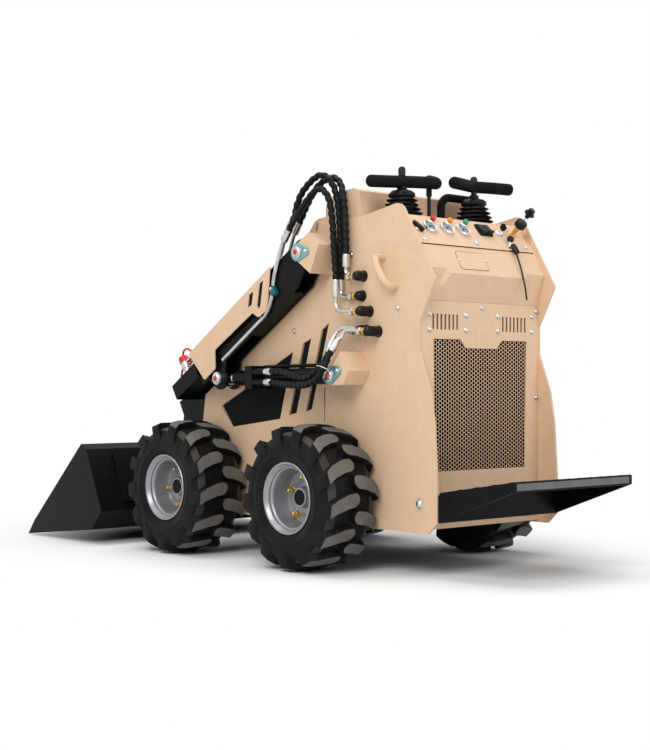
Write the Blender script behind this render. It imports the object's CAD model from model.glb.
import math

import bmesh
import bpy
from mathutils import Matrix, Vector


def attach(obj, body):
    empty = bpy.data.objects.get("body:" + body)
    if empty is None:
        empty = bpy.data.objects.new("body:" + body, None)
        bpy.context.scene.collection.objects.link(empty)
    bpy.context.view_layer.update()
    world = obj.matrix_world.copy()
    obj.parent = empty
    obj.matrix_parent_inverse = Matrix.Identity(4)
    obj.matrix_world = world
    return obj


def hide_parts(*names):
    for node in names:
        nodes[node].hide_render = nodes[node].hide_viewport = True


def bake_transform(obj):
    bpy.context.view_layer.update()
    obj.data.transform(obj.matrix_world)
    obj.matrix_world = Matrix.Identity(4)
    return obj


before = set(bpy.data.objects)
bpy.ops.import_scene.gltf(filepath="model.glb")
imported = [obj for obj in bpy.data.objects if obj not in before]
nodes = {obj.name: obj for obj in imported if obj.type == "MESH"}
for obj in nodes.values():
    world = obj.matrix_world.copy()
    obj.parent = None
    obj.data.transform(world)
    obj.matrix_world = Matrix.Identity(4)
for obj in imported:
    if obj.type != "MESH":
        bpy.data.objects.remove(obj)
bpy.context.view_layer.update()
print("frame loaded:", len(nodes), "nodes")

# the camera stands low behind the left rear wheel
shot = {
    "place": (-3.9281, 3.4255, 0.5983),
    "heading": 41.27,     # degrees from straight ahead towards the right
    "pitch": 0.47,
    "focalPixels": 1415.5,
    "framePixels": 750,   # long side of the frame
    "sensor": 36.0,
    "farthest": 60,
}


def aimCamera():
    data = bpy.data.cameras.new("photoCamera")
    data.sensor_width = shot["sensor"]
    data.lens = shot["focalPixels"] * shot["sensor"] / shot["framePixels"]
    data.clip_end = shot["farthest"]
    cam = bpy.data.objects.new("photoCamera", data)
    bpy.context.collection.objects.link(cam)
    heading, pitch = math.radians(shot["heading"]), math.radians(shot["pitch"])
    look = Vector((math.cos(heading) * math.cos(pitch),
                   -math.sin(heading) * math.cos(pitch), math.sin(pitch)))
    cam.location = shot["place"]
    cam.rotation_euler = look.to_track_quat("-Z", "Y").to_euler()
    bpy.context.scene.camera = cam


# sets a node's inputs, or links those that are given another node's output
def feed(tree, node, inputs):
    for socket, value in inputs.items():
        if isinstance(value, bpy.types.NodeSocket):
            tree.links.new(value, node.inputs[socket])
        else:
            node.inputs[socket].default_value = value


def addNode(tree, kind, inputs=None, operation=None):
    node = tree.nodes.new("ShaderNode" + kind)
    if operation:
        node.operation = operation
    feed(tree, node, inputs or {})
    return node


studio = {
    "ambient": 0.4,
    "white": (1, 1, 1, 1),
    "floorSize": 30.0,
    "floorTone": (0.9, 0.9, 0.9, 1),
    "reach": (0.62, 1, 1),  # the machine is longer than wide
    "fadeFrom": 0.6,        # metres from the machine where the floor starts to go white
    "fadeTo": 1.25,
    "lamps": [
        # name, place, aim, size, watts
        ("keyLamp", (-3.2, 4.6, 4.2), (0.0, 0.0, 0.6), 3.2, 215),
        ("rearLamp", (-5.2, -1.6, 3.0), (-0.6, 0.0, 0.7), 2.6, 70),
        ("topLamp", (0.4, 0.3, 5.2), (0.0, 0.0, 0.4), 4.0, 130),
    ],
}


# camera, mirror and glass rays see the plain white
def seenRays(tree):
    path = addNode(tree, "LightPath")
    kinds = ("Camera", "Glossy", "Transmission")
    camera, mirror, glass = [path.outputs["Is " + kind + " Ray"] for kind in kinds]
    first = addNode(tree, "Math", {0: camera, 1: mirror}, "MAXIMUM")
    second = addNode(tree, "Math", {0: first.outputs[0], 1: glass}, "MAXIMUM")
    return second.outputs[0]


def lightStudio():
    world = bpy.data.worlds.new("paleStudio")
    bpy.context.scene.world = world
    world.use_nodes = True
    tree = world.node_tree
    tree.nodes.clear()
    soft = addNode(tree, "Background", {"Color": studio["white"], "Strength": studio["ambient"]})
    white = addNode(tree, "Background", {"Color": studio["white"], "Strength": 1.0})
    mix = addNode(tree, "MixShader", {0: seenRays(tree), 1: soft.outputs[0], 2: white.outputs[0]})
    addNode(tree, "OutputWorld", {"Surface": mix.outputs[0]})
    for name, place, aim, size, watts in studio["lamps"]:
        lamp = bpy.data.lights.new(name, "AREA")
        lamp.energy = watts
        lamp.size = size
        obj = bpy.data.objects.new(name, lamp)
        obj.location = place
        obj.rotation_euler = (Vector(aim) - Vector(place)).to_track_quat("-Z", "Y").to_euler()
        bpy.context.collection.objects.link(obj)
    bpy.context.scene.view_settings.view_transform = "Standard"


def layFloor():
    half = studio["floorSize"] / 2
    mesh = bpy.data.meshes.new("floor")
    corners = [(-half, -half, 0), (half, -half, 0), (half, half, 0), (-half, half, 0)]
    mesh.from_pydata(corners, [], [(0, 1, 2, 3)])
    floor = bpy.data.objects.new("floor", mesh)
    bpy.context.collection.objects.link(floor)
    mat = bpy.data.materials.new("paleFloor")
    mat.use_nodes = True
    tree = mat.node_tree
    tree.nodes.clear()
    paper = addNode(tree, "BsdfDiffuse", {"Color": studio["floorTone"]})
    white = addNode(tree, "Emission", {"Strength": 1.0})
    coords = addNode(tree, "TexCoord")
    stretch = addNode(tree, "VectorMath", {0: coords.outputs["Object"], 1: studio["reach"]}, "MULTIPLY")
    far = addNode(tree, "VectorMath", {0: stretch.outputs[0]}, "LENGTH")
    fade = addNode(tree, "MapRange", {"Value": far.outputs["Value"], "From Min": studio["fadeFrom"],
                                      "From Max": studio["fadeTo"]})
    fade.interpolation_type = "SMOOTHSTEP"
    seen = addNode(tree, "Math", {0: fade.outputs["Result"], 1: seenRays(tree)}, "MULTIPLY")
    mix = addNode(tree, "MixShader", {0: seen.outputs[0], 1: paper.outputs[0], 2: white.outputs[0]})
    addNode(tree, "OutputMaterial", {"Surface": mix.outputs[0]})
    mesh.materials.append(mat)


aimCamera()
lightStudio()
layFloor()
print("camera, lamps and floor set")

# every finish on the machine; grain is the pattern's size in metres, mottle the colour's unevenness,
# edge the rounding of sharp sheet edges and holes the spacing of punched holes, both in metres
finishes = {
    "sandPaint": dict(colour=(0.72, 0.50, 0.33), rough=0.46, shine=0.36, mottle=0.035, grain=0.004,
                      bump=0.04, edge=0.002),
    "blackPaint": dict(colour=(0.0045, 0.0045, 0.005), rough=0.34, shine=0.09, mottle=0.3, grain=0.003,
                       bump=0.05, edge=0.002),
    "wornPaint": dict(colour=(0.12, 0.122, 0.126), rough=0.36, shine=0.3, mottle=0.15, grain=0.004,
                      bump=0.05),
    "screenMesh": dict(colour=(0.0015, 0.0015, 0.0015), rough=0.8, shine=0.02, mottle=0.4, grain=0.0012,
                       bump=0.5, holes=0.005),
    "darkInside": dict(colour=(0.003, 0.003, 0.003), rough=0.8, shine=0.04, mottle=0.3, grain=0.004),
    "hardChrome": dict(colour=(0.70, 0.70, 0.71), metal=1.0, rough=0.14, mottle=0.03, grain=0.006),
    "zincPlate": dict(colour=(0.60, 0.60, 0.58), metal=1.0, rough=0.32, mottle=0.16, grain=0.003, bump=0.05),
    "brassPlate": dict(colour=(0.66, 0.45, 0.15), metal=1.0, rough=0.3, mottle=0.2, grain=0.003, bump=0.04),
    "tealPlate": dict(colour=(0.20, 0.40, 0.42), metal=0.7, rough=0.34, mottle=0.2, grain=0.004, bump=0.04),
    "tealPlastic": dict(colour=(0.004, 0.12, 0.13), rough=0.4, shine=0.3, mottle=0.15, grain=0.004,
                        bump=0.04),
    "redPlastic": dict(colour=(0.62, 0.012, 0.012), rough=0.36, mottle=0.08, grain=0.004, bump=0.03),
    "rimPaint": dict(colour=(0.30, 0.31, 0.33), metal=0.6, rough=0.34, mottle=0.06, grain=0.003, bump=0.05),
    "tyreRubber": dict(colour=(0.0075, 0.0072, 0.007), rough=0.5, shine=0.1, mottle=0.5, grain=0.006,
                       bump=0.12),
    "wornRubber": dict(colour=(0.115, 0.108, 0.098), rough=0.68, shine=0.3, mottle=0.22, grain=0.007,
                       bump=0.2),
    "dustyRubber": dict(colour=(0.034, 0.027, 0.021), rough=0.62, shine=0.3, mottle=0.6, grain=0.02,
                        bump=0.1),
    "softRubber": dict(colour=(0.006, 0.006, 0.006), rough=0.45, shine=0.14, mottle=0.3, grain=0.004,
                       bump=0.06),
    "gripFoam": dict(colour=(0.006, 0.006, 0.006), rough=0.7, shine=0.08, mottle=0.3, grain=0.0012, bump=0.4),
    "blackPlastic": dict(colour=(0.007, 0.007, 0.0075), rough=0.32, shine=0.2, mottle=0.2, grain=0.002,
                         bump=0.05),
    "redLens": dict(colour=(0.46, 0.025, 0.035), rough=0.15, mottle=0.1, grain=0.008),
    "amberLens": dict(colour=(0.74, 0.24, 0.01), rough=0.15, mottle=0.1, grain=0.008),
    "greenLens": dict(colour=(0.012, 0.30, 0.17), rough=0.15, mottle=0.1, grain=0.008),
    "dialFace": dict(colour=(0.26, 0.28, 0.31), rough=0.35, shine=0.3, mottle=0.05, grain=0.01),
    "whiteNylon": dict(colour=(0.8, 0.8, 0.78), rough=0.45, mottle=0.05, grain=0.005),
}
# clouds of tone, fine bumps, and dark punched holes with paler edges
pattern = {"cloud": 0.1, "cloudDetail": 5, "cloudStops": (0.3, 0.7), "fineDetail": 3, "bevelRays": 4,
           "holeStops": (0.36, 0.46), "holeTones": (0, 0.014)}
made = {}


def setStops(ramp, stops):
    for element, (place, colour) in zip(ramp.color_ramp.elements, stops):
        element.position = place
        element.color = (*colour, 1)


def paintOf(name):
    if name in made:
        return made[name]
    spec = finishes[name]
    mat = bpy.data.materials.new(name)
    mat.use_nodes = True
    mat.diffuse_color = (*spec["colour"], 1)
    tree = mat.node_tree
    skin = tree.nodes["Principled BSDF"]
    feed(tree, skin, {"Metallic": spec.get("metal", 0.0), "Roughness": spec["rough"],
                      "Specular IOR Level": spec.get("shine", 0.5)})
    coords = addNode(tree, "TexCoord")
    place = coords.outputs["Object"]
    cloud = addNode(tree, "TexNoise", {"Vector": place, "Scale": pattern["cloud"] / spec["grain"],
                                      "Detail": pattern["cloudDetail"]})
    tone = addNode(tree, "ValToRGB", {"Fac": cloud.outputs["Fac"]})
    shares = (1 - spec["mottle"], 1 + spec["mottle"])
    setStops(tone, [(at, [min(1, c * share) for c in spec["colour"]])
                    for at, share in zip(pattern["cloudStops"], shares)])
    colour = tone.outputs["Color"]
    if "holes" in spec:
        dots = addNode(tree, "TexVoronoi", {"Vector": place, "Scale": 1 / spec["holes"], "Randomness": 0})
        punch = addNode(tree, "ValToRGB", {"Fac": dots.outputs["Distance"]})
        setStops(punch, [(at, [shade] * 3) for at, shade in zip(pattern["holeStops"], pattern["holeTones"])])
        both = addNode(tree, "Mix")
        both.data_type = "RGBA"
        both.blend_type = "ADD"
        feed(tree, both, {0: 1, 6: colour, 7: punch.outputs["Color"]})    # 6 and 7 are the colour sockets
        colour = both.outputs[2]
    feed(tree, skin, {"Base Color": colour})
    normal = None
    if "edge" in spec:
        soft = addNode(tree, "Bevel", {"Radius": spec["edge"]})
        soft.samples = pattern["bevelRays"]
        normal = soft.outputs["Normal"]
    if "bump" in spec:
        fine = addNode(tree, "TexNoise", {"Vector": place, "Scale": 1 / spec["grain"],
                                         "Detail": pattern["fineDetail"]})
        bump = addNode(tree, "Bump", {"Strength": spec["bump"], "Distance": spec["grain"] / 2,
                                      "Height": fine.outputs["Fac"]})
        if normal:
            feed(tree, bump, {"Normal": normal})
        normal = bump.outputs["Normal"]
    if normal:
        feed(tree, skin, {"Normal": normal})
    made[name] = mat
    return mat


def pair(name):
    return [name + "_left", name + "_right"]


# which finish each CAD piece wears
nodeFinish = {
    "sandPaint": pair("side_plate") + ["nose_cover", "hood", "rear_panel", "console", "side_handles",
                                       "upper_bosses", "lower_bosses", "arm_covers", "rear_grille"],
    "blackPaint": pair("boom_arm") + pair("boom_leg") + pair("lift_barrel")
                  + ["cross_box", "leg_tube", "tilt_bracket", "bucket_shell", "bucket_hitch", "cutting_edge",
                     "tilt_barrel", "rear_step", "axle_hubs", "belly_pan"],
    "darkInside": ["engine_block"],
    "screenMesh": ["vent_screens"],
    "hardChrome": pair("lift_rod") + ["tilt_rod", "dash_gauges"],
    "amberLens": ["dash_lamps"],
    "blackPlastic": ["dash_switches"],
    "softRubber": ["lever_boots", "boom_hoses"] + pair("lift_hoses"),
    "gripFoam": ["control_levers", "grab_bar"],
    "zincPlate": ["pivot_pins", "hydraulic_ports", "boom_pins", "boom_pipes", "aux_couplers", "hitch_pins"],
    "tyreRubber": pair("tyre_rear") + pair("tyre_front"),
    "rimPaint": pair("rim_rear") + pair("rim_front"),
}


def dressNodes():
    for finish, names in nodeFinish.items():
        for name in names:
            mesh = nodes[name].data
            mesh.materials.clear()
            mesh.materials.append(paintOf(finish))


dressNodes()
print("CAD pieces painted")

# all pieces below are drawn in millimetres from the rear axle, the middle plane and the floor
rearAxle = -0.415
inMillimetres = Matrix.Translation((rearAxle, 0, 0)) @ Matrix.Scale(0.001, 4)
# what several pieces share: pins as x and z in side view, the arms' slope in degrees, and how far out the
# side plates' faces are
machine = {"bossPin": (88, 1046), "liftPin": (-72, 635), "armPin": (539.2, 627.8), "armDroop": 31.6,
           "plateY": 290}


# a frame at a place: z points out of the surface, y up, x to the viewer's right
def facing(place, out, up=(0, 0, 1)):
    z = Vector(out).normalized()
    x = Vector(up).cross(z).normalized()
    y = z.cross(x)
    return inMillimetres @ Matrix.Translation(place) @ Matrix((x, y, z)).transposed().to_4x4()


def onPlate(x, z, side):
    return facing((x, side * machine["plateY"], z), (0, side, 0))


# for outlines drawn in side view, with their thickness across the machine
def sideView(side=1):
    return inMillimetres @ Matrix(((1, 0, 0), (0, 0, side), (0, 1, 0))).to_4x4()


# the line of the lift cylinders: its foot, its direction and its length
def liftLine():
    start, end = [Vector((machine[pin][0], 0, machine[pin][1])) for pin in ("liftPin", "armPin")]
    return start, (end - start).normalized(), (end - start).length


def pieceName(kind, place):
    return kind + place.title().replace("_", "")


def newHeap():
    return {"verts": [], "faces": [], "paints": []}


def pour(heap, shape, paint=0, matrix=inMillimetres):
    verts, faces = shape
    base = len(heap["verts"])
    heap["verts"] += [matrix @ Vector(v) for v in verts]
    heap["faces"] += [[base + i for i in face] for face in faces]
    heap["paints"] += [paint] * len(faces)


def makePiece(name, heap, paints, body=None, crease=35):
    mesh = bpy.data.meshes.new(name)
    mesh.from_pydata(heap["verts"], [], heap["faces"])
    for paint in paints:
        mesh.materials.append(paintOf(paint))
    mesh.polygons.foreach_set("material_index", heap["paints"])
    shell = bmesh.new()
    shell.from_mesh(mesh)
    bmesh.ops.recalc_face_normals(shell, faces=shell.faces)
    shell.to_mesh(mesh)
    shell.free()
    mesh.shade_smooth()
    mesh.set_sharp_from_angle(angle=math.radians(crease))
    obj = bpy.data.objects.new(name, mesh)
    bpy.context.collection.objects.link(obj)
    if body:
        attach(obj, body)
    return obj


# a turned form: radius and height along its z axis
def turned(profile, steps=24, loop=False):
    verts, faces, rings = [], [], []
    for r, z in profile:
        if r < 1e-6:
            rings.append([len(verts)] * steps)
            verts.append((0, 0, z))
            continue
        rings.append(range(len(verts), len(verts) + steps))
        verts += [(x, y, z) for x, y in circle(0, 0, r, steps)]
    pairs = list(zip(rings, rings[1:]))
    if loop:
        pairs.append((rings[-1], rings[0]))
    for low, high in pairs:
        for k in range(steps):
            m = (k + 1) % steps
            face = list(dict.fromkeys([low[k], low[m], high[m], high[k]]))
            if len(face) > 2:
                faces.append(face)
    return verts, faces


# a profile moved outwards and up
def shifted(shape, out, up):
    return [(out + r, up + z) for r, z in shape]


def circle(x, y, radius, steps):
    turns = [2 * math.pi * k / steps for k in range(steps)]
    return [(x + radius * math.cos(a), y + radius * math.sin(a)) for a in turns]


# the same outline, drawn in by a distance; the limit keeps sharp corners from shooting out
def drawnIn(outline, distance, limit=0.3):
    n, inner = len(outline), []
    area = sum(outline[i - 1][0] * outline[i][1] - outline[i][0] * outline[i - 1][1] for i in range(n))
    for i, (x, y) in enumerate(outline):
        before = (Vector((x, y)) - Vector(outline[i - 1])).normalized()
        after = (Vector(outline[(i + 1) % n]) - Vector((x, y))).normalized()
        side = Vector((-before.y - after.y, before.x + after.x))
        side *= math.copysign(distance, area) / max(limit, 1 + before.dot(after))
        inner.append((x + side.x, y + side.y))
    return inner


# a flat plate with its outline in x and y, its top edge cut back by bevel
def slab(outline, low, high, bevel=0.0):
    n = len(outline)
    layers = [(outline, low), (outline, high - bevel)]
    if bevel:
        layers.append((drawnIn(outline, bevel), high))
    verts = [(x, y, z) for line, z in layers for x, y in line]
    faces = [list(range(n))[::-1], list(range(len(verts) - n, len(verts)))]
    for layer in range(len(layers) - 1):
        for i in range(n):
            m = (i + 1) % n
            faces.append([layer * n + i, layer * n + m, (layer + 1) * n + m, (layer + 1) * n + i])
    return verts, faces


def roundedBox(width, height, corner, steps=5):
    points = []
    for cx, cy, start in ((1, 1, 0), (-1, 1, 90), (-1, -1, 180), (1, -1, 270)):
        for k in range(steps + 1):
            a = math.radians(start + 90 * k / steps)
            points.append((cx * (width / 2 - corner) + corner * math.cos(a),
                           cy * (height / 2 - corner) + corner * math.sin(a)))
    return points


# a flat rounded block: width, height, corner, then its low and high faces and its bevel
def block(width, height, corner, low, high, bevel=0.0):
    return slab(roundedBox(width, height, corner), low, high, bevel)


# Catmull-Rom through the points, sampled about gap apart
def smoothPath(points, gap):
    points = [Vector(p) for p in points]
    path = [points[0]]
    for i in range(len(points) - 1):
        a, b = points[max(i - 1, 0)], points[i]
        c, d = points[i + 1], points[min(i + 2, len(points) - 1)]
        count = max(1, round((c - b).length / gap))
        for k in range(1, count + 1):
            f = k / count
            path.append(0.5 * (2 * b + (c - a) * f + (2 * a - 5 * b + 4 * c - d) * f * f
                               + (3 * b - a - 3 * c + d) * f ** 3))
    return path


# a round bar along a path; ribs wind round it as (pitch, depth), sunk by a share of their depth
def swept(path, radius, sides=12, ribs=None, taper=None, sunk=0.7):
    verts, faces = [], []
    side, along = None, 0.0
    for i, p in enumerate(path):
        ahead = (path[min(i + 1, len(path) - 1)] - path[max(i - 1, 0)]).normalized()
        if side is None:
            side = ahead.orthogonal().normalized()
        side = (side - side.dot(ahead) * ahead).normalized()
        lift = ahead.cross(side)
        along += (p - path[i - 1]).length if i else 0
        for k in range(sides):
            a = 2 * math.pi * k / sides
            r = radius
            if taper:
                r *= taper(i / (len(path) - 1))
            if ribs:
                pitch, depth = ribs
                r += depth * (abs(math.sin(a / 2 + math.pi * along / pitch)) - sunk)
            verts.append(p + r * (math.cos(a) * side + math.sin(a) * lift))
    for i in range(len(path) - 1):
        for k in range(sides):
            m = (k + 1) % sides
            faces.append([i * sides + k, i * sides + m, (i + 1) * sides + m, (i + 1) * sides + k])
    last = len(verts) - sides
    faces += [list(range(sides))[::-1], list(range(last, last + sides))]
    return verts, faces


# heads of bolts and nuts, as shares of their size and height
boltShares = [(0, 0), (1.25, 0), (1.25, 0.2), (1, 0.3), (0.96, 0.7), (0.75, 0.98), (0.4, 1.12), (0, 1.16)]
nutShares = [(0, 0), (0.94, 0), (1, 0.12), (1, 0.82), (0.86, 1), (0, 1)]


def domedBolt(size):
    return turned([(r * size, z * size) for r, z in boltShares], 16)


def hexNut(size, height):
    return turned([(r * size, z * height) for r, z in nutShares], 6)


# wheels: a lug's stations run from its nose over the crown to the shoulder and down the side
wheel = {
    "places": {"rear_left": (0, 1), "rear_right": (0, -1), "front_left": (685, 1), "front_right": (685, -1)},
    "out": 412,
    "high": 238,
    "lugs": 13,
    "turn": 0.075,          # of the whole tread, in pitches
    "lugStart": 0.25,
    "lugHalf": 0.205,       # half the top's width, in pitches
    "lugTip": 0.012,        # the same at the nose
    "lugEdge": 0.014,       # rounding of the top's edges, in pitches
    "edgeDrop": (1.8, 6),
    "draft": 0.05,
    "sink": 6,
    "nose": (-0.075, 0.2),  # where the nose starts past the middle, and its rounding, of half the width
    "noseBack": 0.06,
    "wornTo": 0.96,         # the tops are worn as far out as this
    "halfWidth": 106,
    "crown": [(-0.2, 238, 0.0), (0.36, 238, -0.08), (0.74, 234.4, -0.21), (0.95, 226, -0.36),
              (1.0, 206, -0.43), (0.99, 190, -0.46)],
    "floor": [(-0.2, 215), (0.6, 214), (0.8, 208), (0.9, 200), (0.95, 193), (1.0, 178)],
    "stations": [-0.075, -0.066, -0.045, -0.01, 0.04, 0.12, 0.24, 0.36, 0.5, 0.62, 0.74, 0.82, 0.89, 0.95,
                 0.985, 1.0],
    "carcass": [(102.5, 78), (103.5, 83), (109, 86.5), (117, 90), (119.4, 93), (120, 96), (122, 97.6),
                (124, 96.6), (138, 101.5), (146, 103), (148, 104.2), (151, 104.2), (153, 103.6), (166, 105),
                (180, 104), (192, 100.5), (202, 94), (209, 84), (213.5, 70), (215.4, 48), (215.4, 20)],
    "tyreSteps": 104,
    "treadFrom": 200,       # the tread's bare floor is dusty outside this radius
    "dustFrom": 62,         # and beyond this distance from the middle
    "rim": [(117, 92), (118, 96), (116.5, 98), (113, 98), (110.5, 96), (108.5, 91.5), (105.5, 89.5),
            (103, 86.5), (101, 80.5), (97, 78.5), (94.5, 75), (93, 62), (92, 38), (90, 22), (85.5, 14.5),
            (78, 12), (61, 12), (59, 16.5), (56.5, 18), (37, 19), (34, 23), (33, 38), (31, 41), (26, 41),
            (25.5, 4), (60, 3), (76, 4), (87, 0), (90, -30), (93, -70), (100, -80), (104, -88),
            (109, -92), (112, -97.5), (116.5, -98), (118, -96), (117, -92), (108, -88), (101.5, -86),
            (101.5, 86), (108, 88)],
    "rimSteps": 72,
    "nuts": 5,
    "nutRing": 68,
    "nutTurn": {"rear": 17, "front": -7},
    "nut": (11.5, 15),
    "discFace": 12,
    "washer": [(0, 0), (13, 0), (13, 3), (0, 3)],
    "stud": [(7, 13), (6.6, 24), (4.5, 26), (0, 26.5)],
    "valve": [(0, 0), (4, 0), (4, 22), (3, 24), (3, 32), (0, 32)],
    "valvePlace": (-87, 30, 36),
    "valveTilt": -25,
}


def wheelFrame(x, side):
    tip = Matrix(((1, 0, 0), (0, 0, side), (0, -side, 0))).to_4x4()
    return inMillimetres @ Matrix.Translation((x, side * wheel["out"], wheel["high"])) @ tip


def along(table, w, column):
    for a, b in zip(table, table[1:]):
        if w <= b[0] or b is table[-1]:
            f = (w - a[0]) / (b[0] - a[0]) if b[0] != a[0] else 1
            return a[column] + min(1, max(0, f)) * (b[column] - a[column])


def treadPoint(radius, share, w, side):
    a = math.radians(90 + side * 360 / wheel["lugs"] * (share + wheel["turn"]))
    return (radius * math.cos(a), radius * math.sin(a), w)


def lugBlock(number, row, side):
    start, bend = wheel["nose"]
    edge, (near, deep) = wheel["lugEdge"], wheel["edgeDrop"]
    stations, crown, rows = wheel["stations"], wheel["crown"], []
    for i, w in enumerate(stations):
        top, lag = along(crown, w, 1), along(crown, w, 2)
        if i == len(stations) - 1:
            top, lag = crown[-1][1:]
        low = along(wheel["floor"], w, 1) - wheel["sink"]
        bulge = math.sqrt(max(0.0, 1 - max(0.0, 1 - (w - start) / bend) ** 2))
        half = max(wheel["lugTip"], wheel["lugHalf"] * bulge)
        foot = half + wheel["draft"]
        mid = number + row / 2 + wheel["lugStart"] + lag
        back = w - wheel["noseBack"] * (1 - bulge)
        flank = [(half - edge, top, w), (half, top - near, w), (half + edge, top - deep, w),
                 (foot, low, back)]
        section = [(-s, r, v) for s, r, v in reversed(flank)] + [(0, top, w)] + flank
        out = (1 - 2 * row) * wheel["halfWidth"]
        rows.append([treadPoint(r, mid + s, v * out, side) for s, r, v in section])
    width = len(rows[0])
    verts = [p for line in rows for p in line]
    sides, worn = [list(range(width)), list(range(len(verts) - width, len(verts)))], []
    for i in range(len(rows) - 1):
        for k in range(width):
            m = (k + 1) % width
            face = [i * width + k, i * width + m, (i + 1) * width + m, (i + 1) * width + k]
            onTop = k in (3, 4) and stations[i + 1] <= wheel["wornTo"]    # the two strips beside the middle
            (worn if onTop else sides).append(face)
    return verts, sides, worn


def makeTyre(name, x, side):
    heap = newHeap()
    at = wheelFrame(x, side)
    half = wheel["carcass"]
    ring = half + [(r, -w) for r, w in reversed(half)]
    verts, faces = turned(ring, wheel["tyreSteps"], loop=True)
    tread = [f for f in faces if all(math.hypot(*verts[i][:2]) > wheel["treadFrom"] for i in f)]
    dusty = [f for f in tread if all(abs(verts[i][2]) > wheel["dustFrom"] for i in f)]
    pour(heap, (verts, [f for f in faces if f not in dusty]), 0, at)
    pour(heap, (verts, dusty), 2, at)
    for row in (0, 1):
        for number in range(wheel["lugs"]):
            verts, sides, worn = lugBlock(number, row, side)
            pour(heap, (verts, sides + worn), 0, at)
            heap["paints"][-len(worn):] = [1] * len(worn)
    tyre = makePiece(pieceName("tyre", name), heap, ["tyreRubber", "wornRubber", "dustyRubber"],
                     "wheel_" + name, crease=32)
    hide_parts("tyre_" + name)


def makeRim(name, x, side):
    heap = newHeap()
    at = wheelFrame(x, side)
    pour(heap, turned(wheel["rim"], wheel["rimSteps"], loop=True), 0, at)
    ring = wheel["nutRing"]
    for k in range(wheel["nuts"]):
        # counted from the front of the wheel upwards
        a = math.radians(wheel["nutTurn"][name.split("_")[0]] + 360 * k / wheel["nuts"])
        foot = Matrix.Translation((ring * math.cos(a), -side * ring * math.sin(a), wheel["discFace"]))
        pour(heap, turned(wheel["washer"], 20), 1, at @ foot)
        pour(heap, hexNut(*wheel["nut"]), 1, at @ foot)
        pour(heap, turned(wheel["stud"], 12), 1, at @ foot)
    tilt = math.radians(wheel["valveTilt"])
    valve = Matrix.Translation(wheel["valvePlace"]) @ Matrix.Rotation(tilt, 4, "Y")
    pour(heap, turned(wheel["valve"], 10), 2, at @ valve)
    rim = makePiece(pieceName("rim", name), heap, ["rimPaint", "brassPlate", "softRubber"],
                    "wheel_" + name, crease=40)
    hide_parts("rim_" + name)


for wheelName, (wheelX, wheelSide) in wheel["places"].items():
    makeTyre(wheelName, wheelX, wheelSide)
    makeRim(wheelName, wheelX, wheelSide)
print("wheels made")

# the rear grille's perforation, a six-sided cell round each hole, and the dark core behind it
grille = {
    "face": -378.6, "pitch": 12.8, "hole": 5.6, "deep": 0.9, "low": 322, "high": 757,
    "foot": 328.6, "top": 749.6, "halfFoot": 214, "halfTop": 223, "notchHigh": 722, "notchHalf": (74, 99),
    "notchFrom": 0.2, "margin": 9,
    "core": (-366, 262, 314, 846),    # x, half its width, foot and top
    "coreThick": 3, "coreCorner": 6, "fins": 44, "finInset": 12, "finHigh": 2.4, "finCorner": 1, "finDeep": 3,
}


def inGrille(y, z):
    f = (z - grille["foot"]) / (grille["top"] - grille["foot"])
    reach = grille["halfFoot"] + f * (grille["halfTop"] - grille["halfFoot"]) + grille["margin"]
    lean = (z - grille["notchHigh"]) / (grille["top"] - grille["notchHigh"])
    narrow, wide = grille["notchHalf"]
    notch = narrow + lean * (wide - narrow) - grille["margin"]
    return abs(y) < reach and not (lean > grille["notchFrom"] and abs(y) < notch)


# a cell's points: six corners, twelve round the hole in front and twelve behind
def cellFaces():
    web, walls = [], []
    for k in range(6):
        m, first, mid, last = (k + 1) % 6, 6 + 2 * k, 7 + 2 * k, 6 + (2 * k + 2) % 12
        web += [[k, first, mid], [k, mid, m], [m, mid, last]]
    for k in range(12):
        m = (k + 1) % 12
        walls.append([6 + k, 18 + k, 18 + m, 6 + m])
    return web, walls


def makeGrille():
    heap = newHeap()
    web, walls = cellFaces()
    pitch, face = grille["pitch"], grille["face"]
    step, cell = pitch * math.sqrt(3) / 2, pitch / math.sqrt(3)
    columns = int((grille["halfTop"] + grille["margin"]) / step)
    for column in range(-columns, columns + 1):
        for row in range(int((grille["high"] - grille["low"]) / pitch) + 1):
            y, z = column * step, grille["low"] + (row + column % 2 / 2) * pitch
            if not inGrille(y, z) or z > grille["high"]:
                continue
            rim = circle(y, z, grille["hole"], 12)
            front = circle(y, z, cell, 6) + rim
            verts = [(face, *p) for p in front] + [(face + grille["deep"], *p) for p in rim]
            pour(heap, (verts, web + walls))
            heap["paints"][-len(walls):] = [1] * len(walls)
    sheet = makePiece("rearGrilleSheet", heap, ["sandPaint", "darkInside"], "chassis",
                      crease=20)
    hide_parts("rear_grille")
    heap = newHeap()
    x, half, low, high = grille["core"]
    at = facing((x, 0, (low + high) / 2), (-1, 0, 0))
    pour(heap, block(2 * half, high - low, grille["coreCorner"], 0, grille["coreThick"]), 0, at)
    fin = block(2 * half - grille["finInset"], grille["finHigh"], grille["finCorner"], 0, grille["finDeep"])
    for k in range(grille["fins"]):
        shift = (k + 0.5) / grille["fins"] * (high - low) - (high - low) / 2
        pour(heap, fin, 0, at @ Matrix.Translation((0, shift, grille["coreThick"])))
    makePiece("radiatorCore", heap, ["darkInside"], "chassis")


makeGrille()
print("grille made")

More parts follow.
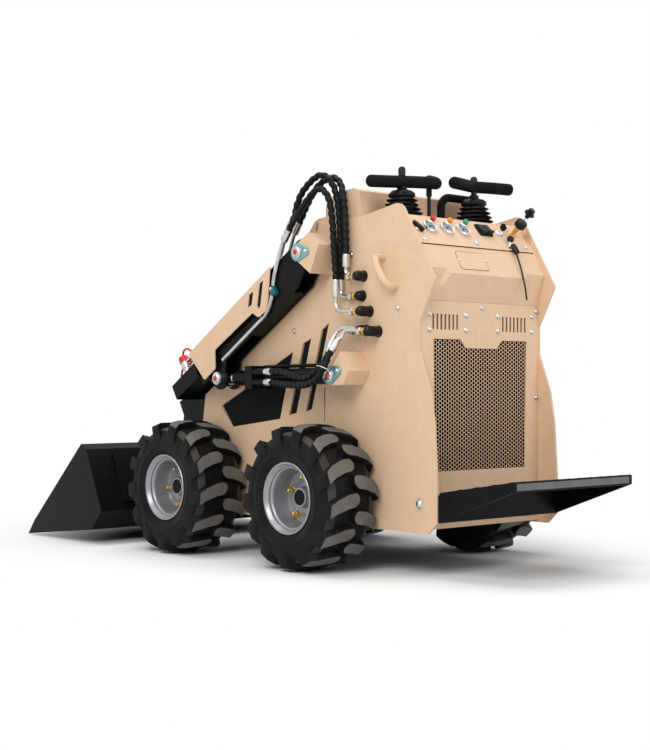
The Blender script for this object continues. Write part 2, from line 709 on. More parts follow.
# bolts: places along and up the side plates, across and up the rear panel, and across and up the dash
bolts = {
    "plate": [(-76, 1033, 8), (-294, 848, 8), (-98, 833, 8), (216, 789, 8), (-393, 233, 13)],
    "panel": [(240, 826), (242, 778), (75, 827), (75, 779), (-77, 829), (-77, 780), (-248, 832), (-247, 782),
              (-1, 854), (-270, 852), (-269, 562), (269, 562)],
    "panelX": -382.9,
    "panelSize": 7,
    "dash": [(243, 14), (-1, 19), (-246, 21)],
    "dashSize": 7.5,
    "holes": [(268, 864), (289, 848)],
    "hole": [(0, -0.4), (4.5, -0.4), (4.5, 0.3), (0, 0.3)],
}
dash = {"footX": -370.9, "footZ": 1052, "slope": 49.77, "lowX": -412, "lowZ": 973, "lowSlope": 62.57}


# a frame on the dash: x up the slope, y to the left, z out of it
def dashAt(y, v, lower=False):
    a = math.radians(dash["lowSlope"] if lower else dash["slope"])
    x, z = (dash["lowX"], dash["lowZ"]) if lower else (dash["footX"], dash["footZ"])
    turn = Matrix(((math.cos(a), 0, -math.sin(a)), (0, 1, 0), (math.sin(a), 0, math.cos(a)))).to_4x4()
    return inMillimetres @ Matrix.Translation((x + v * math.cos(a), y, z + v * math.sin(a))) @ turn


def makeBolts():
    heap = newHeap()
    for x, z, size in bolts["plate"]:
        for side in (1, -1):
            pour(heap, domedBolt(size), 0, onPlate(x, z, side))
    for y, z in bolts["panel"]:
        pour(heap, domedBolt(bolts["panelSize"]), 0, facing((bolts["panelX"], y, z), (-1, 0, 0)))
    for y, v in bolts["dash"]:
        pour(heap, domedBolt(bolts["dashSize"]), 0, dashAt(y, v))
    for x, z in bolts["holes"]:
        for side in (1, -1):
            pour(heap, turned(bolts["hole"], 16), 1, onPlate(x, z, side))
    makePiece("bodyBolts", heap, ["zincPlate", "darkInside"], "chassis")


makeBolts()

# pins: teal lock plate with its small bolt, zinc washer and red cap
pins = {
    "chassis": [("bossPin", 0), ("liftPin", 18)],   # the lock plate's tilt in degrees
    "chassisY": 386,
    "boomY": 384,
    "lockPlate": {"round": 31, "tip": 15, "reach": 45, "low": 0.2, "thick": 4.5, "over": 0.6,
                  "bevel": 1, "bolt": 6.5},
    "washer": 22,
    "washerEdge": [(0, 0), (0, 3), (-1.5, 4), (-6, 4.4), (-8, 7)],
    "washerBore": (7.4, 2),
    "cap": 9.5,
    "capShape": [(0, 0), (1, 0), (1, 7.5), (0.8, 10.5), (0.4, 11.8), (0, 12)],    # shares of the radius
}


def lockOutline():
    spec = pins["lockPlate"]
    lean = math.degrees(math.asin((spec["round"] - spec["tip"]) / spec["reach"]))
    big = (0, spec["round"], 90 - lean, 270 + lean)
    small = (spec["reach"], spec["tip"], lean - 90, 90 - lean)
    points = []
    for middle, r, first, last in (big, small):
        for k in range(13):
            a = math.radians(first + (last - first) * k / 12)
            points.append((middle + r * math.cos(a), r * math.sin(a)))
    return points


def capStack(heap, at, base):
    cap = pins["cap"]
    ring = [(cap, base)] + shifted(pins["washerEdge"], pins["washer"], base)
    ring += [(cap, base + high) for high in pins["washerBore"]]
    pour(heap, turned(ring, 32, loop=True), 1, at)
    pour(heap, turned([(cap * share, base + high) for share, high in pins["capShape"]], 20), 2, at)


def makePins():
    heap = newHeap()
    spec = pins["lockPlate"]
    for side in (1, -1):
        for pin, tilt in pins["chassis"]:
            x, z = machine[pin]
            at = facing((x, side * pins["chassisY"], z), (0, side, 0))
            at = at @ Matrix.Rotation(math.radians(side * tilt), 4, "Z")
            if side < 0:
                at = at @ Matrix.Rotation(math.pi, 4, "Z")
            pour(heap, slab(lockOutline(), spec["low"], spec["thick"] + spec["over"], spec["bevel"]), 0, at)
            pour(heap, domedBolt(spec["bolt"]), 1, at @ Matrix.Translation((spec["reach"], 0, spec["thick"])))
            capStack(heap, at, spec["thick"])
    paints = ["tealPlate", "zincPlate", "redPlastic"]
    makePiece("pivotPinCaps", heap, paints, "chassis")
    heap = newHeap()
    x, z = machine["armPin"]
    for side in (1, -1):
        capStack(heap, facing((x, side * pins["boomY"], z), (0, side, 0)), 0)
    makePiece("armPinCaps", heap, paints, "boom")


makePins()
print("bolts and pins made")

# tan covers on the arms: outline and slots in side view
covers = {
    "outline": [(236, 1007.8), (240.7, 962), (247, 899.6), (258, 858), (299.5, 836), (332, 853.5), (549, 729),
                (546, 662), (610, 622), (707.6, 717.3)],
    "slots": [[(350.3, 916.4), (326.8, 928.5), (335.3, 882.5), (358, 871.5)],
              [(293, 953), (272, 963.8), (288.7, 872.6), (298, 865), (306.8, 878)]],
    "corner": 7,
    "slotCorner": 3.5,
    "y": (370.2, 381.5, 386),
    "backInset": 9,
}


# rounds an outline's corners, up to a share of the edges beside each
def softCorners(points, radius, steps=4, most=0.4):
    line = []
    for i, p in enumerate(points):
        p = Vector(p)
        back, on = Vector(points[i - 1]) - p, Vector(points[(i + 1) % len(points)]) - p
        r = min(radius, back.length * most, on.length * most)
        first, last = p + back.normalized() * r, p + on.normalized() * r
        for k in range(steps + 1):
            f = k / steps
            line.append(tuple((1 - f) ** 2 * first + 2 * f * (1 - f) * p + f * f * last))
    return line


# a flat sheet with holes through it
def cutSheet(outline, holes, low, high):
    flat, edges, rings = bmesh.new(), [], []
    for line in [outline] + holes:
        ring = [flat.verts.new((x, y, 0)) for x, y in line]
        edges += [flat.edges.new((ring[i - 1], ring[i])) for i in range(len(ring))]
        rings.append(ring)
    bmesh.ops.triangle_fill(flat, use_beauty=True, use_dissolve=False, edges=edges)
    flat.verts.index_update()
    n = len(flat.verts)
    verts = [(v.co.x, v.co.y, z) for z in (low, high) for v in flat.verts]
    top = [[v.index + n for v in f.verts] for f in flat.faces]
    walls = []
    for ring in rings:
        for i in range(len(ring)):
            a, b = ring[i - 1].index, ring[i].index
            walls.append([a, b, b + n, a + n])
    flat.free()
    return verts, top + [[i - n for i in reversed(f)] for f in top] + walls


def makeCovers():
    heap = newHeap()
    outline = softCorners(covers["outline"], covers["corner"])
    slots = [softCorners(slot, covers["slotCorner"]) for slot in covers["slots"]]
    back, middle, front = covers["y"]
    for side in (1, -1):
        pour(heap, cutSheet(outline, slots, middle, front), 0, sideView(side))
        pour(heap, cutSheet(drawnIn(outline, covers["backInset"]), [], back, middle), 1, sideView(side))
    plates = makePiece("armCovers", heap, ["sandPaint", "blackPaint"], "boom")
    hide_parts("arm_covers")


makeCovers()

# hoses: routes in shares of the body's reach, of the way out to the boss, and of the plates' height
hoses = {
    "across": 22, "sides": 14,
    "gap": 2.2,               # between the rings of a hose
    "wrap": (26, 3.4),        # pitch and depth of the spiral guard
    "bossOut": 96, "reachBack": 463, "reachAhead": 787, "foot": 140, "tall": 1042,
    "boom": [
        [(-0.0907, 0.438, 0.7745), (-0.0907, 0.438, 0.8013), (-0.0821, 0.438, 0.8349),
          (-0.0734, 0.458, 0.8935), (-0.067, 0.49, 0.9587), (-0.0518, 0.531, 1.0173),
          (-0.0151, 0.573, 1.0528), (0.0241, 0.625, 1.0681), (0.0597, 0.688, 1.0557),
          (0.1067, 0.771, 1.0211), (0.1487, 0.844, 0.9798)],
        [(-0.0756, 0.146, 0.7754), (-0.0756, 0.146, 0.8013), (-0.0756, 0.156, 0.8522),
          (-0.0756, 0.198, 0.9616), (-0.0626, 0.271, 1.0413), (-0.0173, 0.365, 1.0931),
          (0.0343, 0.448, 1.1142), (0.0826, 0.521, 1.1027), (0.1385, 0.604, 1.0662),
          (0.1715, 0.646, 1.0221)],
        [(-0.1663, 0.292, 0.8532), (-0.1663, 0.292, 0.8781), (-0.1577, 0.271, 0.9203),
          (-0.1404, 0.24, 0.9933), (-0.1145, 0.198, 1.0461), (-0.0626, 0.12, 1.0864),
          (0.0025, 0.11, 1.1065), (0.0534, 0.14, 1.1027), (0.1067, 0.208, 1.0777), (0.1677, 0.26, 1.0182)],
    ],
    # first two points of the pipe on the arm: shares along it, out to the boss, and of its upper half
    "pipe": [[(0.0071, 0.906, 2.156), (0.0857, 0.906, 1.711)], [(0.0029, 0.667, 2.844), (0.0714, 0.667, 2.4)],
             [(0.0029, 0.292, 2.911), (0.0686, 0.292, 2.489)]],
    "pipeRun": (30, 1),       # how far back from the pipe's end the last two points lie
    "armLong": 700, "armUp": 45,
    "lift": [
        [(-0.0929, 0.771, 0.5528), (-0.0864, 0.849, 0.5298), (-0.0518, 0.979, 0.501), (0.0165, 1.031, 0.476),
         (0.0623, 1.031, 0.4655), (0.1334, 1.01, 0.4722), (0.2351, 0.948, 0.4875)],
        [(-0.1771, 1, 0.553), (-0.1727, 1.136, 0.5346), (-0.158, 1.27, 0.498), (-0.0864, 1.31, 0.4616),
         (0.0127, 1.25, 0.4472), (0.0889, 1.14, 0.4434), (0.1906, 1.021, 0.4472)],
    ],
    "liftRun": (22, 1),
    "barrelShare": 0.718, "gland": 40, "fitting": 58, "fittingUp": 18, "fittingY": 378,
    # where each bend starts and ends along the machine, and how far out and up
    "boomBend": (-60, 110), "boomBendAt": (330, 1200), "liftBend": (-40, 190), "liftBendAt": (400, 640),
    "tie": (2, 2),            # the point of each lift hose where a tie holds the pair
    "tieThick": 1.6, "tieClear": 1.2, "tieSteps": 32,
    "tieAlong": (0.55, 0.1, -0.8),
    "sleeve": 12.5,           # radius of the zinc sleeves
    # points of a sleeve: in from its radius, share of its length, and millimetres more
    "sleeveShape": [(2, 0, 0), (0, 0, 1.5), (0, 0.3, 0), (1.2, 0.36, 0), (1.2, 0.46, 0), (0, 0.52, 0),
                    (0, 1, -3), (2, 1, 0)],
    "sleeveUp": (0.3, 1, 0.2),
    "sleeves": {"boom": (34, 4), "lift": (36, 8), "barrel": (70, 32)},    # length, and overlap on the hose
}


def bodyPoint(share):
    reach = hoses["reachBack"] if share[0] < 0 else hoses["reachAhead"]
    return Vector((share[0] * reach, machine["plateY"] + share[1] * hoses["bossOut"],
                   hoses["foot"] + share[2] * hoses["tall"]))


def armPoint(share):
    a = math.radians(machine["armDroop"])
    x, z = machine["bossPin"]
    s, t = share[0] * hoses["armLong"], share[2] * hoses["armUp"]
    return Vector((x + s * math.cos(a) + t * math.sin(a), machine["plateY"] + share[1] * hoses["bossOut"],
                   z - s * math.sin(a) + t * math.cos(a)))


def boomRoute(number):
    first, second = [armPoint(p) for p in hoses["pipe"][number]]
    back = (first - second).normalized()
    return [bodyPoint(p) for p in hoses["boom"][number]] + [first + d * back for d in hoses["pipeRun"]]


def liftRoute(number, side):
    start, way, length = liftLine()
    up = Vector((-way.z, 0, way.x)) * (1 - 2 * number) * hoses["fittingUp"]
    tip = hoses["barrelShare"] * length - hoses["gland"] - hoses["fitting"]
    ends = [start + (tip - d) * way + up for d in hoses["liftRun"]]
    route = [bodyPoint(p) for p in hoses["lift"][number]]
    route += [Vector((p.x, hoses["fittingY"], p.z)) for p in ends]
    return [Vector((p.x, p.y * side, p.z)) for p in route]


def pourHose(heap, route):
    path = smoothPath(route, hoses["gap"])
    pour(heap, swept(path, hoses["across"] / 2, hoses["sides"], hoses["wrap"]))


# a sleeve that reaches back from the hose's end over the pipe
def sleeveAt(heap, end, inner, kind):
    length, overlap = hoses["sleeves"][kind]
    inward = inner - end
    foot = end - inward.normalized() * (length - overlap)
    shape = [(hoses["sleeve"] - cut, length * share + more) for cut, share, more in hoses["sleeveShape"]]
    pour(heap, turned([(0, 0)] + shape + [(0, length)], 20), 0, facing(foot, inward, hoses["sleeveUp"]))


# an oval round two hoses that run side by side
def tieLoop(first, second):
    long = second - first
    deep = long.cross(Vector(hoses["tieAlong"])).normalized()
    long.normalize()
    reach, points = hoses["across"] / 2 + hoses["tieClear"], []
    for k in range(hoses["tieSteps"] + 1):
        a = 2 * math.pi * k / hoses["tieSteps"]
        centre = second if math.cos(a) > 0 else first
        points.append(centre + reach * (math.cos(a) * long + math.sin(a) * deep))
    return points


def makeHoses():
    heap, sleeves = newHeap(), newHeap()
    for number in range(len(hoses["boom"])):
        route = boomRoute(number)
        pourHose(heap, route)
        sleeveAt(sleeves, route[0], route[1], "boom")
    loops = makePiece("boomHoses", heap, ["softRubber"], crease=60)
    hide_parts("boom_hoses")
    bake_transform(loops)
    for side, name in ((1, "left"), (-1, "right")):
        heap, ends = newHeap(), newHeap()
        routes = [liftRoute(number, side) for number in (0, 1)]
        for route in routes:
            pourHose(heap, route)
            sleeveAt(ends, route[-1], route[-2], "barrel")
            sleeveAt(sleeves, route[0], route[1], "lift")
        tie = tieLoop(*[route[i] for route, i in zip(routes, hoses["tie"])])
        pour(heap, swept(tie, hoses["tieThick"], 8), 1)
        twin = makePiece(pieceName("liftHoses", name), heap, ["softRubber", "whiteNylon"],
                         crease=60)
        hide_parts("lift_hoses_" + name)
        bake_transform(twin)
        makePiece(pieceName("liftHoseEnds", name), ends, ["zincPlate"], "lift_barrel_" + name)
    makePiece("hoseSleeves", sleeves, ["zincPlate"], "chassis")


makeHoses()
print("hoses made")

# ports: black collars and boots where the pipes leave the plates, and the nuts on the pipes
ports = {
    "pipes": [(-132, 958, 318), (-126, 894, 304), (-161, 842, 332)],      # x, z and the pipe's distance out
    "liftPipes": [(-145, 781, 320), (-202, 776, 336)],
    "grommet": 19, "bore": 9,
    "collar": [(0, 0.2), (0, 2.2), (-2.5, 3.4)],
    "boot": 17, "bootFoot": 3,
    "dome": [(17, 0), (14.7, 8.5), (8.5, 14.7), (0, 17)],
    "nutsAhead": 16,
    "nuts": [(13, 15, 0, 0, 2), (14.5, 16, 16, 0.3, 1)],    # size, height, way along the pipe, turn, paint
}


def makePorts():
    heap = newHeap()
    low, high = ports["collar"][0][1], ports["collar"][-1][1]
    collar = [(ports["bore"], low)] + shifted(ports["collar"], ports["grommet"], 0) + [(ports["bore"], high)]
    for side in (1, -1):
        pipes = (ports["pipes"] if side > 0 else []) + ports["liftPipes"]
        for x, z, out in pipes:
            boot = [(ports["boot"], ports["bootFoot"])] + shifted(ports["dome"], 0, out - machine["plateY"])
            pour(heap, turned(collar, 28, loop=True), 0, onPlate(x, z, side))
            pour(heap, turned(boot, 28), 0, onPlate(x, z, side))
            run = facing((x + ports["nutsAhead"], side * out, z), (1, 0, 0))
            for size, height, way, turn, paint in ports["nuts"]:
                at = run @ Matrix.Translation((0, 0, way)) @ Matrix.Rotation(turn, 4, "Z")
                pour(heap, hexNut(size, height), paint, at)
    makePiece("portNuts", heap, ["blackPlastic", "zincPlate", "brassPlate"], "chassis")


makePorts()

# levers: foam grips on rods, each over a folded rubber boot
levers = {
    "x": -189.8, "y": 173, "deck": 1150, "foam": 20.5, "gap": 2.5,
    "stem": 10, "stemFoot": 1250, "knobTop": 1322,
    "knob": [(0, -34), (2, -32), (2.4, -12), (1, -6), (-3, -1.6)],    # from the stem and the top
    "leftGrip": [(-190, 326, 1260), (-190, 250, 1265), (-190, 173, 1271), (-190, 90, 1277), (-190, 30, 1280),
                 (-182, 6, 1282), (-158, -8, 1290), (-116, -14, 1301)],
    "rightGrip": [(-234, -320, 1284), (-222, -282, 1285), (-206, -234, 1286), (-191, -186, 1286),
                  (-191, -160, 1286), (-206, -112, 1285), (-222, -62, 1284), (-234, -20, 1283)],
    "gripEnd": 0.055,           # share of a grip's length that is rounded at each end
    "gripTip": 0.02,
    "middle": (-157, 13),
    "middleRod": [(0, 0), (6.5, 0), (6.5, 88), (9, 90), (10, 94), (10, 144), (8, 149), (0, 150)],
    "boot": [(0, 0), (71, 0), (72, 2.5), (70, 5), (54, 8), (53, 11), (65, 14), (66.5, 16), (64, 18.5),
             (49, 22), (48, 25), (59, 28.5), (60.5, 31), (58, 33.5), (44, 37), (43, 40), (53.5, 43),
             (55, 45.5), (52, 48), (39, 51.5), (38, 55), (48, 57.5), (49.5, 60), (47, 62.5), (35, 66),
             (34.5, 69), (42, 71.5), (43.5, 75), (41, 83), (33, 89.5), (22, 93), (15, 97), (16, 101),
             (14, 107), (0, 108)],
    # how far the boot's folds wander, of their radius, and how their waves turn with height
    "sag": (0.022, 0.014), "sagTurn": (0.31, 0.19), "square": 0.035,
    "lift": 1.6, "liftTurn": 0.4, "liftFull": 12, "liftWithin": (4, 92),
}


def roundEnds(f):
    end = levers["gripEnd"]
    return math.sqrt(max(levers["gripTip"], 1 - max(0.0, 1 - f / end, 1 - (1 - f) / end) ** 2))


def makeLevers():
    heap = newHeap()
    top, stem, foot = levers["knobTop"], levers["stem"], levers["stemFoot"]
    knob = [(0, foot), (stem, foot)] + shifted(levers["knob"], stem, top) + [(0, top)]
    for side in (1, -1):
        pour(heap, turned(knob), 0, inMillimetres @ Matrix.Translation((levers["x"], side * levers["y"], 0)))
    for grip in ("leftGrip", "rightGrip"):
        pour(heap, swept(smoothPath(levers[grip], levers["gap"]), levers["foam"], 24, taper=roundEnds), 1)
    place = Matrix.Translation((*levers["middle"], levers["deck"]))
    pour(heap, turned(levers["middleRod"], 20), 0, inMillimetres @ place)
    rods = makePiece("controlLevers", heap, ["blackPlastic", "gripFoam"], "chassis")
    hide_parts("control_levers")


def makeBoots():
    heap = newHeap()
    (wide, narrow), (wideTurn, narrowTurn) = levers["sag"], levers["sagTurn"]
    low, high = levers["liftWithin"]
    for side in (1, -1):
        verts, faces = turned(levers["boot"], 64)
        bent = []
        for x, y, z in verts:
            a = math.atan2(y, x)
            lie = wide * math.sin(2 * a + wideTurn * z + side) + narrow * math.sin(5 * a - narrowTurn * z)
            square = 1 + levers["square"] * math.cos(4 * a + math.pi)
            lift = levers["lift"] * math.sin(3 * a + levers["liftTurn"] * z) * min(1, z / levers["liftFull"])
            up = max(0, z + (lift if low < z < high else 0))
            bent.append((x * (1 + lie) * square, y * (1 + lie) * square, up))
        place = Matrix.Translation((levers["x"], side * levers["y"], levers["deck"]))
        pour(heap, (bent, faces), 0, inMillimetres @ place)
    boots = makePiece("leverBoots", heap, ["softRubber"], "chassis", crease=70)
    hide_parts("lever_boots")


makeLevers()
makeBoots()
print("levers made")

# black guard tubes over the lift rods, with a raised band at each end
guards = {
    "y": 336, "from": 446, "to": 552, "radius": 27, "bore": 18,
    "lowBand": [(-3, 0), (0, 3), (0, 12), (-1, 13)],
    "highBand": [(-1, -26), (0, -25), (0, -3), (-3, 0)],
}


def makeGuards():
    start, way, _ = liftLine()
    low, high, r = guards["from"], guards["to"], guards["radius"]
    outside = shifted(guards["lowBand"], r, low) + shifted(guards["highBand"], r, high)
    ring = [(guards["bore"], low)] + outside + [(guards["bore"], high)]
    for side, name in ((1, "left"), (-1, "right")):
        heap = newHeap()
        at = facing((start.x, side * guards["y"], start.z), way, (0, 1, 0))
        pour(heap, turned(ring, 40, loop=True), 0, at)
        makePiece(pieceName("rodGuard", name), heap, ["blackPaint"], "lift_rod_" + name)


makeGuards()

# dash instruments: three gauges with a lamp beside each; points from the radius, and from foot or top
gauges = {
    "places": (183.9, 105, 29), "v": 73.2, "radius": 26, "high": 12.5,
    "bezelFoot": [(-5, 2), (0, 0)],
    "bezelTop": [(0, -4), (-1, -1.2), (-2.6, 0), (-4, -0.8), (-5, -3)],
    "face": (-4.6, -4.5),
    "ticks": 11, "sweep": 250,    # degrees from the first tick to the last
    "tickIn": 8, "tickHalf": 0.6, "tickLong": 5, "tickShort": 3, "tickAt": (-4.4, -4.1),
    "needleIn": 10, "needleBack": (-4, 1.2), "needleTip": 0.4, "needleAt": (-3.9, -3.2),
    "needleTurn": (-100, 8),    # of the first gauge, and how much more for each next one
    "hub": [(3, -4.4), (3, -2.6), (0, -2.4)],
}
lamps = {
    "places": ((147, "redLens"), (67, "amberLens"), (-7, "greenLens")), "v": 110.4, "radius": 10.5,
    "seat": [(1, 0), (1, 2.5), (0, 3.4)],
    "lens": [(-1, 3), (-1, 13), (-1.6, 15), (-3, 15.8)],
    "lensTop": 16,
}


def makeGauges():
    heap = newHeap()
    r, high = gauges["radius"], gauges["high"]
    bezel = shifted(gauges["bezelFoot"], r, 0) + shifted(gauges["bezelTop"], r, high)
    inset, drop = gauges["face"]
    low, top = [high + z for z in gauges["tickAt"]]
    half, end = gauges["tickHalf"], r - gauges["tickIn"]
    back, wide = gauges["needleBack"]
    tip, thin = r - gauges["needleIn"], gauges["needleTip"]
    outline = [(back, -wide), (tip, -thin), (tip, thin), (back, wide)]
    needle = slab(outline, *[high + z for z in gauges["needleAt"]])
    for number, y in enumerate(gauges["places"]):
        at = dashAt(y, gauges["v"])
        pour(heap, turned(bezel, 40, loop=True), 0, at)
        pour(heap, turned([(0, high + drop), (r + inset, high + drop)], 40), 1, at)
        for k in range(gauges["ticks"]):
            a = math.radians(gauges["sweep"] / 2 - gauges["sweep"] * k / (gauges["ticks"] - 1))
            long = gauges["tickShort"] if k % 5 else gauges["tickLong"]
            mark = [(end - long, -half), (end, -half), (end, half), (end - long, half)]
            pour(heap, slab(mark, low, top), 2, at @ Matrix.Rotation(a, 4, "Z"))
        first, more = gauges["needleTurn"]
        pour(heap, needle, 2, at @ Matrix.Rotation(math.radians(first + more * number), 4, "Z"))
        pour(heap, turned(shifted(gauges["hub"], 0, high), 14), 2, at)
    paints = ["hardChrome", "dialFace", "darkInside"]
    dials = makePiece("dashGauges", heap, paints, "chassis", crease=30)
    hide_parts("dash_gauges")


def makeLamps():
    heap = newHeap()
    r = lamps["radius"]
    seat = [(0, 0)] + shifted(lamps["seat"], r, 0) + [(0, lamps["seat"][-1][1])]
    lens = shifted(lamps["lens"], r, 0) + [(0, lamps["lensTop"])]
    for number, (y, _) in enumerate(lamps["places"]):
        at = dashAt(y, lamps["v"])
        pour(heap, turned(seat), 0, at)
        pour(heap, turned(lens), number + 1, at)
    paints = ["zincPlate"] + [glass for _, glass in lamps["places"]]
    glow = makePiece("dashLamps", heap, paints, "chassis")
    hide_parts("dash_lamps")


# the rest of the dash: toggle, rocker pair, key with its fob and strap, and pull knob; blocks are given as
# width, height, corner, low face, high face and bevel, and the Z values as low face, high face and bevel
switches = {
    "rocker": (-83, 86), "rockerFrame": (52, 62, 5, 0, 5, 1.2),
    "rockerGap": 29, "rockerWide": 24, "rockerBevel": 1,
    "rockerSide": [(-21, 4), (21, 4), (21, 9.5), (17, 11), (0, 12.5), (-17, 20), (-21, 19)],
    "toggle": (238, 66), "toggleTurn": 0.5, "toggleCorner": 5, "toggleZ": (2, 15, 3),
    "toggleNeck": [(0, 0), (11, 0), (11, 2), (9, 4), (0, 4)],
    "toggleTop": [(-20, -7), (6, -8), (26, -4), (26, 4), (6, 8), (-20, 7)],
    "key": (-154, 80),
    "lock": [(0, 0), (13, 0), (13, 5), (11.5, 7), (8, 7), (7, 6), (0, 6)],
    "keyBlade": (7, 2.2, 0.8, 5, 20), "keyHead": (25, 24, 10, 0, 5, 1), "keyHeadAt": (0, 2.5, 30),
    "ring": {"middle": (-12, 34), "radius": 10, "lean": 3, "thick": 1.1, "steps": 20},
    "spare": ((-356, -172, 1092), (-0.8, 0.35, 0.3), (0.2, -0.3, 1)),     # place, way out and way up
    "spareHead": (24, 22, 9, 0, 5, 1), "spareBlade": (7, 26, 2, 1, 3.2), "spareBladeAt": (-2, -22, 0),
    "fob": ((-383, -166, 1058), (-0.8, 0.1, 0.45), (0.45, 0.1, 0.8)),
    "fobOutline": [(-9, -18), (9, -18), (11, 4), (6, 19), (-6, 19), (-11, 4)], "fobZ": (-5, 5, 2),
    "strap": [(-388, -164, 1046), (-394, -163, 1034), (-404, -162, 1012), (-416, -160, 984),
              (-426, -158, 955), (-435, -156, 926), (-441, -155, 898), (-444, -154, 884)],
    "strapThick": 3, "strapGap": 6,
    "pull": (-220, 78), "pullNut": (14, 7),
    "pullNeck": [(0, 6), (11, 6), (11, 9), (8.5, 10), (8.5, 44), (0, 44)],
    "pullCap": [(0, 41), (16, 41), (19, 44), (19, 62), (16, 66), (0, 67)],
    "pullRibs": (1.05, 1.05, 0.96, 0.96),    # the cap's radius swings by these, point by point
    "pullRod": [(0, 66), (2.2, 66), (2.2, 90), (0, 90)],
    "pullSpool": [(0, 86), (8, 86), (8, 99), (18, 100), (19, 103), (18, 106), (12, 107), (12, 119), (10, 121),
                  (0, 121)],
}


def makeRockers(heap):
    at = dashAt(*switches["rocker"])
    pour(heap, block(*switches["rockerFrame"]), 0, at)
    wide = switches["rockerWide"]
    for shift in (-0.5, 0.5):
        lay = Matrix.Translation((0, shift * switches["rockerGap"] + wide / 2, 0))
        lay = at @ lay @ Matrix.Rotation(math.pi / 2, 4, "X")
        pour(heap, slab(switches["rockerSide"], 0, wide, switches["rockerBevel"]), 0, lay)
    at = dashAt(*switches["toggle"])
    pour(heap, turned(switches["toggleNeck"], 20), 1, at)
    tip = at @ Matrix.Rotation(switches["toggleTurn"], 4, "Z")
    outline = softCorners(switches["toggleTop"], switches["toggleCorner"])
    pour(heap, slab(outline, *switches["toggleZ"]), 0, tip)


# key in its lock, a second key on the ring, the fob and its strap
def makeKeys(heap):
    at = dashAt(*switches["key"])
    pour(heap, turned(switches["lock"], 28), 1, at)
    pour(heap, block(*switches["keyBlade"]), 1, at)
    head = at @ Matrix.Translation(switches["keyHeadAt"]) @ Matrix.Rotation(math.pi / 2, 4, "X")
    pour(heap, block(*switches["keyHead"]), 0, head)
    ring = switches["ring"]
    (x, z), r = ring["middle"], ring["radius"]
    turns = [2 * math.pi * k / ring["steps"] for k in range(ring["steps"] + 1)]
    path = [(x + r * math.cos(a), ring["lean"] * math.sin(a), z + r * math.sin(a)) for a in turns]
    path = [inMillimetres.inverted() @ (at @ Vector(p)) for p in path]
    pour(heap, swept(path, ring["thick"], 8), 1)
    spare = facing(*switches["spare"])
    pour(heap, block(*switches["spareHead"]), 0, spare)
    pour(heap, block(*switches["spareBlade"]), 1, spare @ Matrix.Translation(switches["spareBladeAt"]))
    pour(heap, slab(switches["fobOutline"], *switches["fobZ"]), 0, facing(*switches["fob"]))
    pour(heap, swept(smoothPath(switches["strap"], switches["strapGap"]), switches["strapThick"], 10), 0)


# pull knob: brass neck, ribbed cap, thin rod and the spool on top
def makePull(heap):
    at = dashAt(*switches["pull"])
    pour(heap, hexNut(*switches["pullNut"]), 2, at)
    pour(heap, turned(switches["pullNeck"]), 2, at)
    verts, faces = turned(switches["pullCap"], 48)
    ribs = switches["pullRibs"]
    ribbed = [(x * ribs[i % 4], y * ribs[i % 4], z) for i, (x, y, z) in enumerate(verts)]
    pour(heap, (ribbed, faces), 0, at)
    pour(heap, turned(switches["pullRod"], 10), 1, at)
    pour(heap, turned(switches["pullSpool"], 28), 0, at)


def makeSwitches():
    heap = newHeap()
    makeRockers(heap)
    makeKeys(heap)
    makePull(heap)
    paints = ["blackPlastic", "hardChrome", "brassPlate"]
    panel = makePiece("dashSwitches", heap, paints, "chassis")
    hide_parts("dash_switches")


makeGauges()
makeLamps()
makeSwitches()

# thin sheet trim: the dash's lower lip with a dark line below it, and the access cover
trim = {
    "lipHalf": 270,
    "lip": (-1.5, 7), "lipZ": (-0.5, 2.4, 0.8),    # its edges, then its faces and bevel
    "line": (-4.2, -1.5), "lineZ": (-0.5, 0.5),
    "cover": (58.5, 33.5), "coverSize": (65, 131), "coverCorner": 10, "coverZ": (-0.5, 1.5, 0.5),
    "gap": 3.2, "gapCorner": 11, "gapZ": (-0.5, 0.35),
    "coverScrews": ((120, 34), (-9, 37)), "screw": 5,
}


def makeTrim():
    heap = newHeap()
    half = trim["lipHalf"]
    for paint, (name, z) in enumerate((("lip", "lipZ"), ("line", "lineZ"))):
        low, high = trim[name]
        strip = [(low, -half), (high, -half), (high, half), (low, half)]
        pour(heap, slab(strip, *trim[z]), paint, dashAt(0, 0))
    at = dashAt(*trim["cover"], lower=True)
    wide, long = trim["coverSize"]
    pour(heap, block(wide + trim["gap"], long + trim["gap"], trim["gapCorner"], *trim["gapZ"]), 1, at)
    pour(heap, block(wide, long, trim["coverCorner"], *trim["coverZ"]), 0, at)
    for y, v in trim["coverScrews"]:
        pour(heap, domedBolt(trim["screw"]), 2, dashAt(y, v, lower=True))
    makePiece("consoleTrim", heap, ["sandPaint", "darkInside", "zincPlate"], "chassis")


makeTrim()
print("dash made")

# the rear step: bent deck with side gussets, a worn strip along its lip and raised buttons to stand on
step = {
    "root": (-463, 270), "tip": (-769, 318.5), "foot": 177, "half": 285, "sheet": 6, "tipDrop": 1,
    "bend": 10, "bendRise": 1.6, "bendUnder": 4.4, "bendLow": 12,    # the fold at the root, above and below
    "lip": 32.3, "lipCorner": 6, "lipEdge": 1,
    "strip": (538, 21), "stripCorner": 2, "stripDeep": 2, "stripEdge": 0.5,
    "slope": 9, "rows": 8, "rowFrom": 35, "rowGap": 35, "across": 10, "acrossGap": 52, "back": 0.5,
    "button": 8, "buttonSide": [(0, -2), (0, 1.2), (-1.6, 2.6)], "buttonTop": 2.8,
}


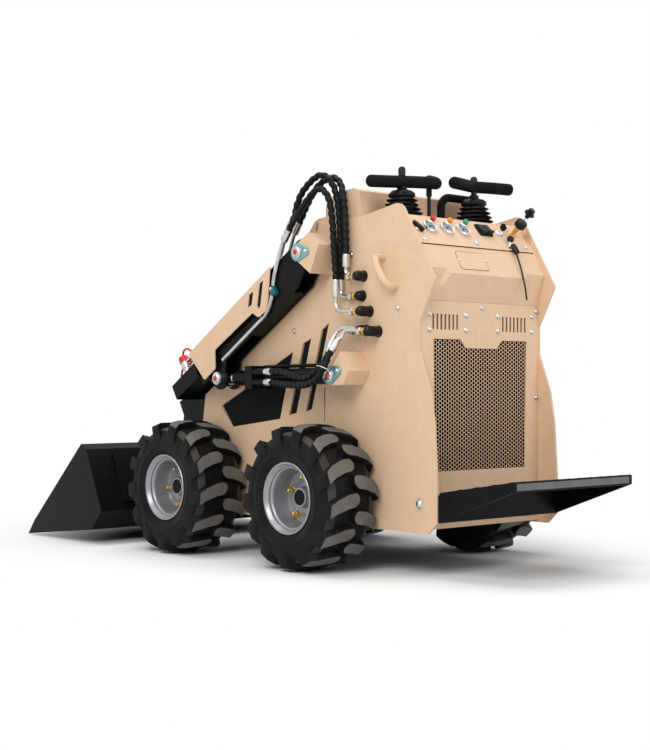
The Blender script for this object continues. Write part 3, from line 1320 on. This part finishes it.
def makeStep():
    heap = newHeap()
    (x0, z0), (x1, z1), t = step["root"], step["tip"], step["sheet"]
    foot, half, lip, bend = step["foot"], step["half"], step["lip"], step["bend"]
    end, top = x1 + t, z1 - step["tipDrop"]
    upper = [(x0, foot), (x0, z0 - bend), (x0 - bend, z0 + step["bendRise"]), (end, top)]
    under = [(end, top - t), (x0 - bend, z0 - step["bendUnder"]), (x0 - t, z0 - step["bendLow"]),
             (x0 - t, foot)]
    pour(heap, slab(upper + under, t - half, half - t), 0, sideView())
    for side in (1, -1):
        pour(heap, slab(upper + [(end, z1 - lip)], side * (half - t), side * half), 0, sideView())
    face = facing((end, 0, z1 - lip / 2), (-1, 0, 0))
    edge = step["lipEdge"]
    pour(heap, block(2 * half, lip, step["lipCorner"], 0, t - edge, edge), 0, face)
    strip = block(*step["strip"], step["stripCorner"], t - step["stripDeep"], t, step["stripEdge"])
    pour(heap, strip, 1, face)
    button = turned(shifted(step["buttonSide"], step["button"], 0) + [(0, step["buttonTop"])], 12)
    a = math.radians(step["slope"])
    for row in range(step["rows"]):
        d = step["rowFrom"] + row * step["rowGap"]
        for k in range(step["across"] + row % 2):
            y = (k - (step["across"] - 1 + row % 2) / 2) * step["acrossGap"]
            place = (x0 - step["back"] - d * math.cos(a), y, z0 + d * math.sin(a))
            pour(heap, button, 0, facing(place, (math.sin(a), 0, math.cos(a)), (0, 1, 0)))
    plate = makePiece("stepPlate", heap, ["blackPaint", "wornPaint"], "chassis")
    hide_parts("rear_step")


makeStep()

# red caps on the auxiliary couplers with their retainers, and the teal clamp on the arm's pipe
couplers = {
    "foot": (747.9, 645.4), "ys": (354, 318), "long": 70, "radius": 16,
    "ring": [(0, 22), (2, 23), (2, 40), (0, 41), (-1, 36)],
    "cap": [(0.4, -20), (3, -20), (3, -2), (1, 2)],
    "capTop": 3,
    "loops": [[(784, 354, 707), (782, 356, 726), (760, 358, 738), (728, 360, 730), (712, 361, 706),
               (722, 362, 688), (742, 362, 680)],
              [(786, 318, 706), (812, 318, 700), (834, 320, 668), (842, 322, 630), (834, 324, 602),
                (826, 325, 590)]],
    "loopThick": 4, "loopGap": 5,
    "clamp": (226, 370, 924), "clampUp": (0.5, 0, 0.85), "clampSize": (24, 34, 5, 0, 17, 2.5),
    "screw": 5, "screwAt": (0, 9, 16.5),
}


def makeCouplers():
    heap = newHeap()
    a = math.radians(machine["armDroop"])
    out = (math.sin(a), 0, math.cos(a))
    (x, z), r, long = couplers["foot"], couplers["radius"], couplers["long"]
    for y in couplers["ys"]:
        at = facing((x, y, z), out, (0, 1, 0))
        pour(heap, turned(shifted(couplers["ring"], r, 0), 28, loop=True), 1, at)
        pour(heap, turned(shifted(couplers["cap"], r, long) + [(0, long + couplers["capTop"])], 28), 0, at)
    for loop in couplers["loops"]:
        pour(heap, swept(smoothPath(loop, couplers["loopGap"]), couplers["loopThick"], 10), 0)
    clamp = facing(couplers["clamp"], (0, 1, 0), couplers["clampUp"])
    pour(heap, block(*couplers["clampSize"]), 2, clamp)
    pour(heap, domedBolt(couplers["screw"]), 1, clamp @ Matrix.Translation(couplers["screwAt"]))
    makePiece("couplerCaps", heap, ["redPlastic", "zincPlate", "tealPlastic"], "boom")


makeCouplers()
print("couplers made")
